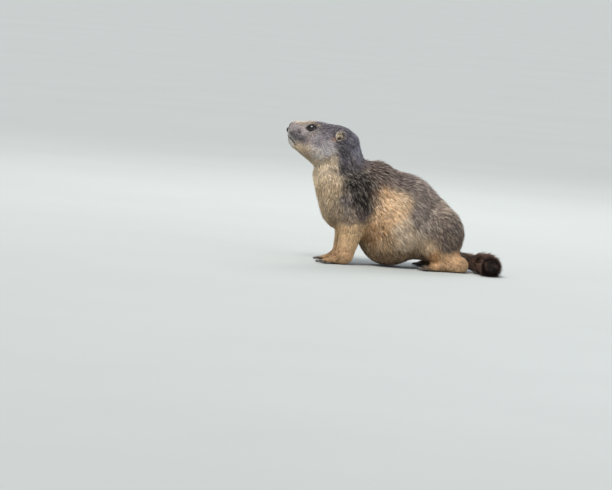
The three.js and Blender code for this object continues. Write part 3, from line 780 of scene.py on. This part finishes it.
def blotched_material(name, dark, light, grain, roughness, bump_depth, **surface):
    """Bare skin, horn or glass: two near colours in soft blotches a grain in mm across, with the
    roughness and, where it has a depth in mm, a bump that follow them."""
    made, tree, shader = material(name, **surface)
    spot = node(tree, "TexCoord", out="Object")
    blotches = node(tree, "TexNoise", {"Scale": 1 / (grain * MM), "Detail": 4}, Vector=spot)
    colour = node(tree, "ValToRGB", {"stops": [(0.32, dark), (0.7, light)]}, Fac=blotches)
    tree.links.new(colour, shader.inputs["Base Color"])
    rough = [(0.3, roughness * 0.85), (0.7, min(1, roughness * 1.15))]
    tree.links.new(node(tree, "ValToRGB", {"stops": rough}, Fac=blotches), shader.inputs["Roughness"])
    if bump_depth:
        bump = node(tree, "Bump", {"Strength": 0.7, "Distance": bump_depth * MM}, Height=blotches)
        tree.links.new(bump, shader.inputs["Normal"])
    return made


# Banded guard hair, soft and dry: cream and black hairs speckle the markings
BODY_HAIR = hair_material(
    "body guard hair over grey-brown underfur", "#EADDC6", 0.26, 0.2, 0.3, 0.62, 1.72)
# Short dense head hair: a finer, greyer speckle with whitish tips
HEAD_HAIR = hair_material("short head hair, frosted at the tips", "#DAD4CC", 0.28, 0.18, 0.36, 0.66, 1.45)
# Close leg hair: warm tan, nearly even
LEG_HAIR = hair_material("short tan leg hair", "#E6CDA4", 0.2, 0.07, 0.45, 0.64, 1.55)
# Long brush hair: dark and a little glossier, with rusty tips
TAIL_HAIR = hair_material("long dark brush hair", "#8A6A54", 0.18, 0.3, 0.4, 0.55, 1.42)
# Underfur: a dull dark ground that shows between the guard hairs
HIDE = underfur_material("underfur felted to the hide")

skin = triangle_piece("hide", skin_points, skin_corners, HIDE, "body_fur")
set_attribute(skin.data, "marking", "FLOAT_COLOR", skin_marking)
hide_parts(*FLESH)

# The mouth: a dark line from corner to corner round the muzzle, and up to the nose

MOUTH = {"hub": 47, "front": -20, "drop": 10, "corner": 96}
skin_tree = BVHTree.FromPolygons(skin_points.tolist(), skin_corners.tolist())


def on_skin(start, way):
    """Where a ray from a place in the head's axes, in mm, along a way there meets the skin."""
    hit = skin_tree.ray_cast(Vector(head_place(*start)), Vector(HEAD_AXES @ unit(way)))
    return np.array(hit[0])


def mouth_line():
    """Points of the mouth line: rays at even turns from the muzzle's middle, dropping to the corners."""
    points = []
    for turn in np.linspace(-MOUTH["corner"], MOUTH["corner"], 49):
        share = abs(turn) / MOUTH["corner"]
        angle = math.radians(turn)
        start = (MOUTH["hub"], 0, MOUTH["front"] - MOUTH["drop"] * share**1.3)
        points.append(on_skin(start, (math.cos(angle), math.sin(angle), 0)))
    return np.array(points)


def full_turn(count):
    """Even angles once round, the last one short of the first."""
    return np.arange(count) * 2 * math.pi / count


def tube(path, radii, sides=8):
    """A closed tube along a path: rings of given radii about each point, square to the path."""
    path = np.asarray(path, float)
    radii = np.broadcast_to(np.asarray(radii, float), len(path))
    way = unit(np.gradient(path, axis=0))
    side = unit(np.cross(way, HEAD_AXES[:, 2] + 0.01))
    over = np.cross(way, side)
    turn = full_turn(sides)
    ring = side[:, None] * np.cos(turn)[None, :, None] + over[:, None] * np.sin(turn)[None, :, None]
    rings = path[:, None] + ring * radii[:, None, None]
    points = np.concatenate([rings.reshape(-1, 3), path[:1], path[-1:]])
    first, last = len(path) * sides, len(path) * sides + 1
    n = np.arange(sides)
    m = (n + 1) % sides
    base = (np.arange(len(path) - 1) * sides)[:, None]
    quads = np.stack([base + n, base + m, base + sides + m, base + sides + n], -1).reshape(-1, 4)
    top = (len(path) - 1) * sides
    ends = [np.stack([m, n, np.full(sides, first)], 1), np.stack([top + n, top + m, np.full(sides, last)], 1)]
    return points, np.concatenate([quads[:, [0, 1, 2]], quads[:, [0, 2, 3]], *ends])


LIP_RADIUS, CORNER_RADIUS, CLEFT_RADIUS = 0.95 * MM, 0.1 * MM, 0.6 * MM
CLEFT_TOP = -14
lips = mouth_line()
cleft = np.array([on_skin((50, 0, z), (1, 0, 0)) for z in np.linspace(CLEFT_TOP, MOUTH["front"], 7)])
# Bare lip skin: a dark, slightly moist line
LIP_SKIN = blotched_material(
    "dark bare lip skin", "#1B1412", "#3A2A25", 1.2, 0.5, 0.1, Specular_IOR_Level=0.35)
fade = np.sin(np.linspace(0, math.pi, len(lips))) ** 0.4
triangle_piece("mouth", *tube(lips, np.maximum(LIP_RADIUS * fade, CORNER_RADIUS)), LIP_SKIN, "nose_pad")
triangle_piece("lip_cleft", *tube(cleft, CLEFT_RADIUS), LIP_SKIN, "nose_pad")

# Eyes: glossy balls as deep as the solids', under dark lids that leave an almond opening

# Wet eyeball: near black, with one sharp highlight
EYE_GLASS = blotched_material(
    "near-black brown eye, wet", "#080504", "#140B07", 3, 0.05, 0, Specular_IOR_Level=0.4)
# Bare eyelid: a dark rim with a soft sheen
LID_SKIN = blotched_material(
    "dark bare eyelid skin", "#17110F", "#2E2420", 1.5, 0.45, 0.08, Specular_IOR_Level=0.4)


def grid_piece(name, points, finish, slot):
    """A piece from a grid of points, closed round its second axis, with points that meet made one."""
    rows, columns = points.shape[:2]
    n = np.arange(columns)
    m = (n + 1) % columns
    base = (np.arange(rows - 1) * columns)[:, None]
    quads = np.stack([base + n, base + m, base + columns + m, base + columns + n], -1).reshape(-1, 4)
    corners = np.concatenate([quads[:, [0, 1, 2]], quads[:, [0, 2, 3]]])
    return triangle_piece(name, *merged(points.reshape(-1, 3), corners), finish, slot)


def eyes():
    """Each eyeball is a sphere of latitude rings; each lid is a ring of oval section that rides on
    it, its middle line an ellipse drawn to a point at both corners."""
    tilt, turn = np.meshgrid(np.linspace(0, math.pi, 33), full_turn(64), indexing="ij")
    round_eye, section = np.meshgrid(full_turn(72), full_turn(12), indexing="ij")
    for side, word in ((1, "left"), (-1, "right")):
        centre, axes = box_centre("eye_" + word), eye_frame(side)
        ball = np.stack([np.sin(tilt) * np.cos(turn), np.sin(tilt) * np.sin(turn), np.cos(tilt)], -1)
        piece = grid_piece("eyeball_" + word, centre + ball * EYE_RADIUS @ axes.T, EYE_GLASS, "eye")
        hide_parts("eye_" + word)
        narrow = 1 - 0.25 * abs(np.cos(round_eye)) ** 3
        reach = 1 + LID["wide"] / LID["across"] * np.cos(section) * 0.5
        x = LID["across"] * np.cos(round_eye) * reach
        y = LID["high"] * np.sin(round_eye) * narrow * (reach + 0.08 * np.cos(section))
        lift = EYE_RADIUS + LID["thick"] * (0.35 + 0.75 * np.sin(section))
        z = np.sqrt(np.maximum(lift**2 - x**2 - y**2, (LID["level"] + lift - EYE_RADIUS) ** 2))
        ring = np.stack([x, y, z], -1)
        ring = np.concatenate([ring, ring[:1]], 0)
        grid_piece("eyelids_" + word, centre + ring @ axes.T, LID_SKIN, "nose_pad")


eyes()


# Nose: the solids' pad made smooth, with a pebbled skin

def smoothed_node(name, voxel, rounds):
    """A CAD node's own shape, remeshed finely and relaxed."""
    points, corners = remeshed(*merged(*mesh_arrays(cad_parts[name].data)), voxel)
    return relaxed(points, edge_pairs(corners), rounds), corners


# Moist nose leather: black pebbles with small glints
NOSE_LEATHER = blotched_material("moist pebbled nose leather", "#0D0B0B", "#2B2524", 0.9, 0.32, 0.12)
NOSE_SHIFT = HEAD_AXES @ (np.array([-1.3, 0, -1.3]) * MM)  # sets its front near the lips' front
nose_points, nose_corners = smoothed_node("nose", 0.45 * MM, 4)
nose_pad = triangle_piece("nose_pad", nose_points + NOSE_SHIFT, nose_corners, NOSE_LEATHER, "nose_pad")
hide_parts("nose")


# Claws: the solids' horns rounded by two subdivisions

# Claw horn, worn on the ground: dark streaks with a dull polish
HORN = blotched_material("worn dark claw horn", "#1C1613", "#4A3B30", 2.5, 0.35, 0.1)


def claws():
    """Each claw is its node's mesh merged, swollen a quarter of a millimetre and subdivided twice."""
    for name in sorted(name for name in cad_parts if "_claw_" in name):
        points, corners = merged(*mesh_arrays(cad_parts[name].data))
        points = points + outward(points, corners) * GAP_SHARE
        piece = triangle_piece("horn_" + name, points, corners, HORN, "claw")
        rounding = piece.modifiers.new("round", "SUBSURF")
        rounding.levels = rounding.render_levels = 2
        depsgraph = bpy.context.evaluated_depsgraph_get()
        made = bpy.data.meshes.new_from_object(piece.evaluated_get(depsgraph))
        piece.modifiers.clear()
        piece.data = made
        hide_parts(name)


claws()

# The coat

body = Surface(skin_points, skin_corners, skin_pairs, skin_lie, skin_hair, depth, skin_marking)
BARE_BELOW = 1.2 * MM  # soles touch the floor with no tufts
BARE_NOSE = 6.6 * MM
BARE_LIP = 1.5 * MM
BARE_LID = 0.9 * MM, 0.8 * MM  # past the lids' ends, and over and under them


def gap_to(points, others):
    """Each point's distance to the nearest of a few others."""
    return np.sqrt(((points[:, None] - others[None]) ** 2).sum(2).min(1))


def sow_body():
    """Roots over the whole skin, denser where the hair is shorter, none on soles, eyes, nose or lips."""
    spacing = np.clip(0.5 + 0.06 * skin_hair / MM, 0.6, 1.5)
    clear = (skin_points[:, 2] > BARE_BELOW).astype(float) + 1e-9
    gone = gap_to(skin_points, np.array([box_centre("nose") + NOSE_SHIFT])) < BARE_NOSE
    face = np.flatnonzero(gap_to(skin_points, np.array([head_place(50, 0, 0)])) < 60 * MM)
    gone[face[gap_to(skin_points[face], np.concatenate([lips, cleft])) < BARE_LIP]] = True
    for side, word in ((1, "left"), (-1, "right")):
        own = (skin_points - box_centre("eye_" + word)) @ eye_frame(side)
        own[:, :2] /= LID["across"] + BARE_LID[0], LID["high"] + BARE_LID[1]
        gone |= (own[:, 0] ** 2 + own[:, 1] ** 2 < 1) & (own[:, 2] > 0)
    return body.sown(COAT_TUFTS, np.where(gone, 1e-9, clear / spacing**2))


COAT_TUFTS = 138000
PIECE_TUFTS = 18800  # of ten triangles each, to keep a piece under 200,000
seeds = sow_body()
seeds["region"] = region_of(seeds["root"])
seeds["map"] = unwrapped(seeds["root"], seeds["region"])
LONG_LOCK, SHORT_LOCK = 4.2 * MM, 2.9 * MM
COATS = [
    ("coat_body", BODY_HAIR, "body_fur", LONG_LOCK),
    ("coat_head", HEAD_HAIR, "head_fur", SHORT_LOCK),
    ("coat_tail", TAIL_HAIR, "tail_fur", LONG_LOCK),
    ("coat_forelegs", LEG_HAIR, "leg_fur", SHORT_LOCK),
    ("coat_hindlegs", LEG_HAIR, "body_fur", LONG_LOCK),
    ("coat_feet", LEG_HAIR, "foot_fur", SHORT_LOCK),
]
for number, (name, finish, slot, lock) in enumerate(COATS):
    inside = np.flatnonzero(seeds["region"] == number)
    for part in range(math.ceil(len(inside) / PIECE_TUFTS)):
        rows = inside[part * PIECE_TUFTS:(part + 1) * PIECE_TUFTS]
        chosen = {key: value[rows] for key, value in seeds.items()}
        width = np.clip(0.024 * chosen["hair"] + 0.4 * MM, 0.46 * MM, 0.95 * MM)
        coat_piece(f"{name}_{part + 1}", tufts(chosen, width, 0.4, lock, 0.2), finish, slot)


# Ears: the solids' cups made smooth and furred, pale in front, with painted shadow in a groove and painted
# shade in the hole

EAR_TUFTS = 3600
EAR_WAY = np.array([0.5, 0.85, 0.1])
EAR_UP = np.array([-0.2, 0.35, 0.93])
RIM_AT, RIM_WIDE, CUP_WITHIN = 8.6, 1.3, 8.2  # mm from the ear's middle
# Ear skin under short down: the same dull felt
EAR_HIDE = underfur_material("thin hide of the ear")


def ear(side, word):
    """One ear: a smoothed cup, and tufts that run from its foot to its rim. It is pale in front, with painted
    shadow darkening a groove at its upper back and painted shade darkening the hole low in the middle, all in
    mm from its middle."""
    points, corners = smoothed_node("ear_" + word, 0.5 * MM, 5)
    pairs = edge_pairs(corners)
    out = unit(HEAD_AXES @ (EAR_WAY * [1, side, 1]))
    up = HEAD_AXES @ (EAR_UP * [1, side, 1])
    across = unit(np.cross(up, out))
    axes = np.stack([across, np.cross(out, across), out], 1)
    own = (points - box_centre("ear_" + word)) @ axes / MM
    normals = outward(points, corners) @ axes
    middle = np.hypot(own[:, 0], own[:, 1])
    back, above = own[:, 0] * side, own[:, 1]
    inward = (normals[:, :2] * own[:, :2]).sum(1) < 0.25 * middle
    inner = (normals[:, 2] > 0.15) & (middle < CUP_WITHIN) & inward
    rim = np.exp(-((middle - RIM_AT) / RIM_WIDE) ** 2) * (own[:, 2] > -1)
    pale = inner & (back + 0.6 * above < 1) & (middle < 7.2)
    # painted shadow: the cup's upper back is coloured dark where the rim shades it
    painted_shadow_groove = inner & (back + above > 1.5) & (abs(middle - 5) < 1.6)
    # painted shade: the ear's opening is coloured dark as a shaded recess
    painted_shade_hole = np.hypot((back + 0.2) * 0.9, (above + 3.6) * 0.8) < 2.7
    colour = np.where(inner[:, None], linear("#8C7D70")[:3], linear("#6A6368")[:3])
    colour[pale] = linear("#E2D2B4")[:3]
    colour[painted_shadow_groove] = linear("#2E2521")[:3]
    colour[painted_shade_hole & inner] = linear("#241C19")[:3]
    colour = relaxed(colour, pairs, 3)
    hide = triangle_piece("ear_hide_" + word, points, corners, EAR_HIDE, "head_fur")
    set_attribute(hide.data, "marking", "FLOAT_COLOR", colour)
    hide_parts("ear_" + word)
    lie = np.where(inner[:, None], [0.25, 1, 0.5], own * [1, 1, 0.3] + [0, 5, 1]) @ axes.T
    hair = (2.4 + 1.0 * rim + 1.6 * pale - 1.2 * (painted_shadow_groove | painted_shade_hole)) * MM
    surface = Surface(points, corners, pairs, lie, hair, 0.5 * MM + 0.14 * hair, colour)
    made = surface.sown(EAR_TUFTS, np.where(inner, 0.7, 1.0))
    made["map"] = unwrapped(made["root"], np.ones(len(made["root"]), int))
    width = np.clip(0.05 * made["hair"] + 0.3 * MM, 0.3 * MM, 0.6 * MM)
    coat_piece("coat_ear_" + word, tufts(made, width, 0.3, 2 * MM, 0.22), HEAD_HAIR, "head_fur")


ear(1, "left")
ear(-1, "right")


# Whiskers: thin tapered tubes from the sides of the muzzle, swept back

WHISKER_RADIUS = 0.17 * MM  # about twice the real one, which would be too thin to show


def whiskers():
    """Each whisker is a tube along a quadratic curve from the skin, its radius falling to a point."""
    # Stiff smooth hair: dark and a little glossy against the pale lips
    stiff = blotched_material("stiff dark whisker", "#1A1614", "#3B332E", 6, 0.4, 0)
    t = np.linspace(0, 1, 12)[:, None]
    parts, start = [], 0
    for side in (1, -1):
        for row in range(3):
            for column in range(3):
                spot = (52 + 3 * column + row, 0, -3 - 3.4 * row)
                root = on_skin(spot, (0.35, side, -0.1))
                length = RANDOM.uniform(20, 30) * MM
                away = HEAD_AXES @ unit([-0.25 + 0.2 * column, side, 0.25 - 0.3 * row])
                back = HEAD_AXES @ unit([-1.0, 0.5 * side, -0.2 - 0.2 * row])
                path = root + away * (t - 0.06) * length * 0.8 + back * t**2 * length * 0.5
                points, corners = tube(path, WHISKER_RADIUS * (1 - 0.85 * t[:, 0]), 5)
                parts.append((points, corners + start))
                start += len(points)
    points, corners = (np.concatenate(group) for group in zip(*parts))
    triangle_piece("whiskers", points, corners, stiff, "head_fur")


whiskers()

# Floor, light and camera

FLOOR_BLOTCH, FLOOR_REACH = 0.4, 60.0


def stage_floor():
    """A plain pale floor, wide enough to meet no edge."""
    # Matt paint on a studio floor: an even pale grey with no reflection
    made, tree, shader = material("pale matt floor paint", Roughness=0.85, Specular_IOR_Level=0.2)
    spot = node(tree, "TexCoord", out="Object")
    blotches = node(tree, "TexNoise", {"Scale": 1 / FLOOR_BLOTCH, "Detail": 3}, Vector=spot)
    tone = node(tree, "ValToRGB", {"stops": [(0.3, "#9B9E9B"), (0.7, "#9DA09D")]}, Fac=blotches)
    tree.links.new(tone, shader.inputs["Base Color"])
    mesh = bpy.data.meshes.new("floor")
    far = FLOOR_REACH
    mesh.from_pydata([(-far, -far, 0), (far, -far, 0), (far, far, 0), (-far, far, 0)], [], [(0, 1, 2, 3)])
    mesh.materials.append(made)
    floor = bpy.data.objects.new("floor", mesh)
    bpy.context.scene.collection.objects.link(floor)


def area_light(name, spot, target, size, watts, colour):
    """A soft square light at a spot, turned to a target."""
    light = bpy.data.lights.new(name, "AREA")
    light.size, light.energy, light.color = size, watts, colour
    lamp = bpy.data.objects.new(name, light)
    lamp.location = spot
    lamp.rotation_euler = (Vector(target) - Vector(spot)).to_track_quat("-Z", "Y").to_euler()
    bpy.context.scene.collection.objects.link(lamp)


stage_floor()
world = bpy.data.worlds.new("pale room")
world.use_nodes = True
world.node_tree.nodes["Background"].inputs["Color"].default_value = (0.80, 0.88, 1.0, 1)
world.node_tree.nodes["Background"].inputs["Strength"].default_value = 0.9
bpy.context.scene.world = world
sun = bpy.data.lights.new("key", "SUN")
sun.energy, sun.angle, sun.color = 3.9, math.radians(22), (1.0, 0.95, 0.88)
key = bpy.data.objects.new("key", sun)
key.rotation_euler = Vector((-0.45, -0.75, -1.25)).to_track_quat("-Z", "Y").to_euler()
bpy.context.scene.collection.objects.link(key)
area_light("fill", (-1.8, 2.2, 1.2), (0, 0, 0.1), 1.6, 22, (0.9, 0.95, 1.0))
area_light("rim", (-0.4, -1.8, 1.8), (0, 0, 0.12), 1.2, 25, (1.0, 1.0, 1.0))

AZIMUTH, ELEVATION, ROLL = (math.radians(value) for value in (172, 4, 4.5))
DISTANCE = 8.16
OFF_CENTRE = -0.1264, 0.0333  # how far right and up of the modeller's origin the picture's middle is
level_way = np.array([-math.sin(AZIMUTH), math.cos(AZIMUTH), 0])
ahead = level_way * math.cos(ELEVATION) - np.array([0, 0, math.sin(ELEVATION)])
level = unit(np.cross(ahead, [0, 0, 1]))
upright = np.cross(level, ahead)
right = level * math.cos(ROLL) + upright * math.sin(ROLL)
top = upright * math.cos(ROLL) - level * math.sin(ROLL)
aim = place(0, 0, 0) + OFF_CENTRE[0] * right + OFF_CENTRE[1] * top
lens = bpy.data.cameras.new("camera")
lens.lens, lens.sensor_width = 300, 36
lens.clip_end = 200
camera = bpy.data.objects.new("camera", lens)
camera.matrix_world = Matrix([
    [right[n], top[n], -ahead[n], (aim - ahead * DISTANCE)[n]] for n in range(3)] + [[0, 0, 0, 1]])
bpy.context.scene.collection.objects.link(camera)
bpy.context.scene.camera = camera
bpy.context.scene.view_settings.view_transform = "Standard"
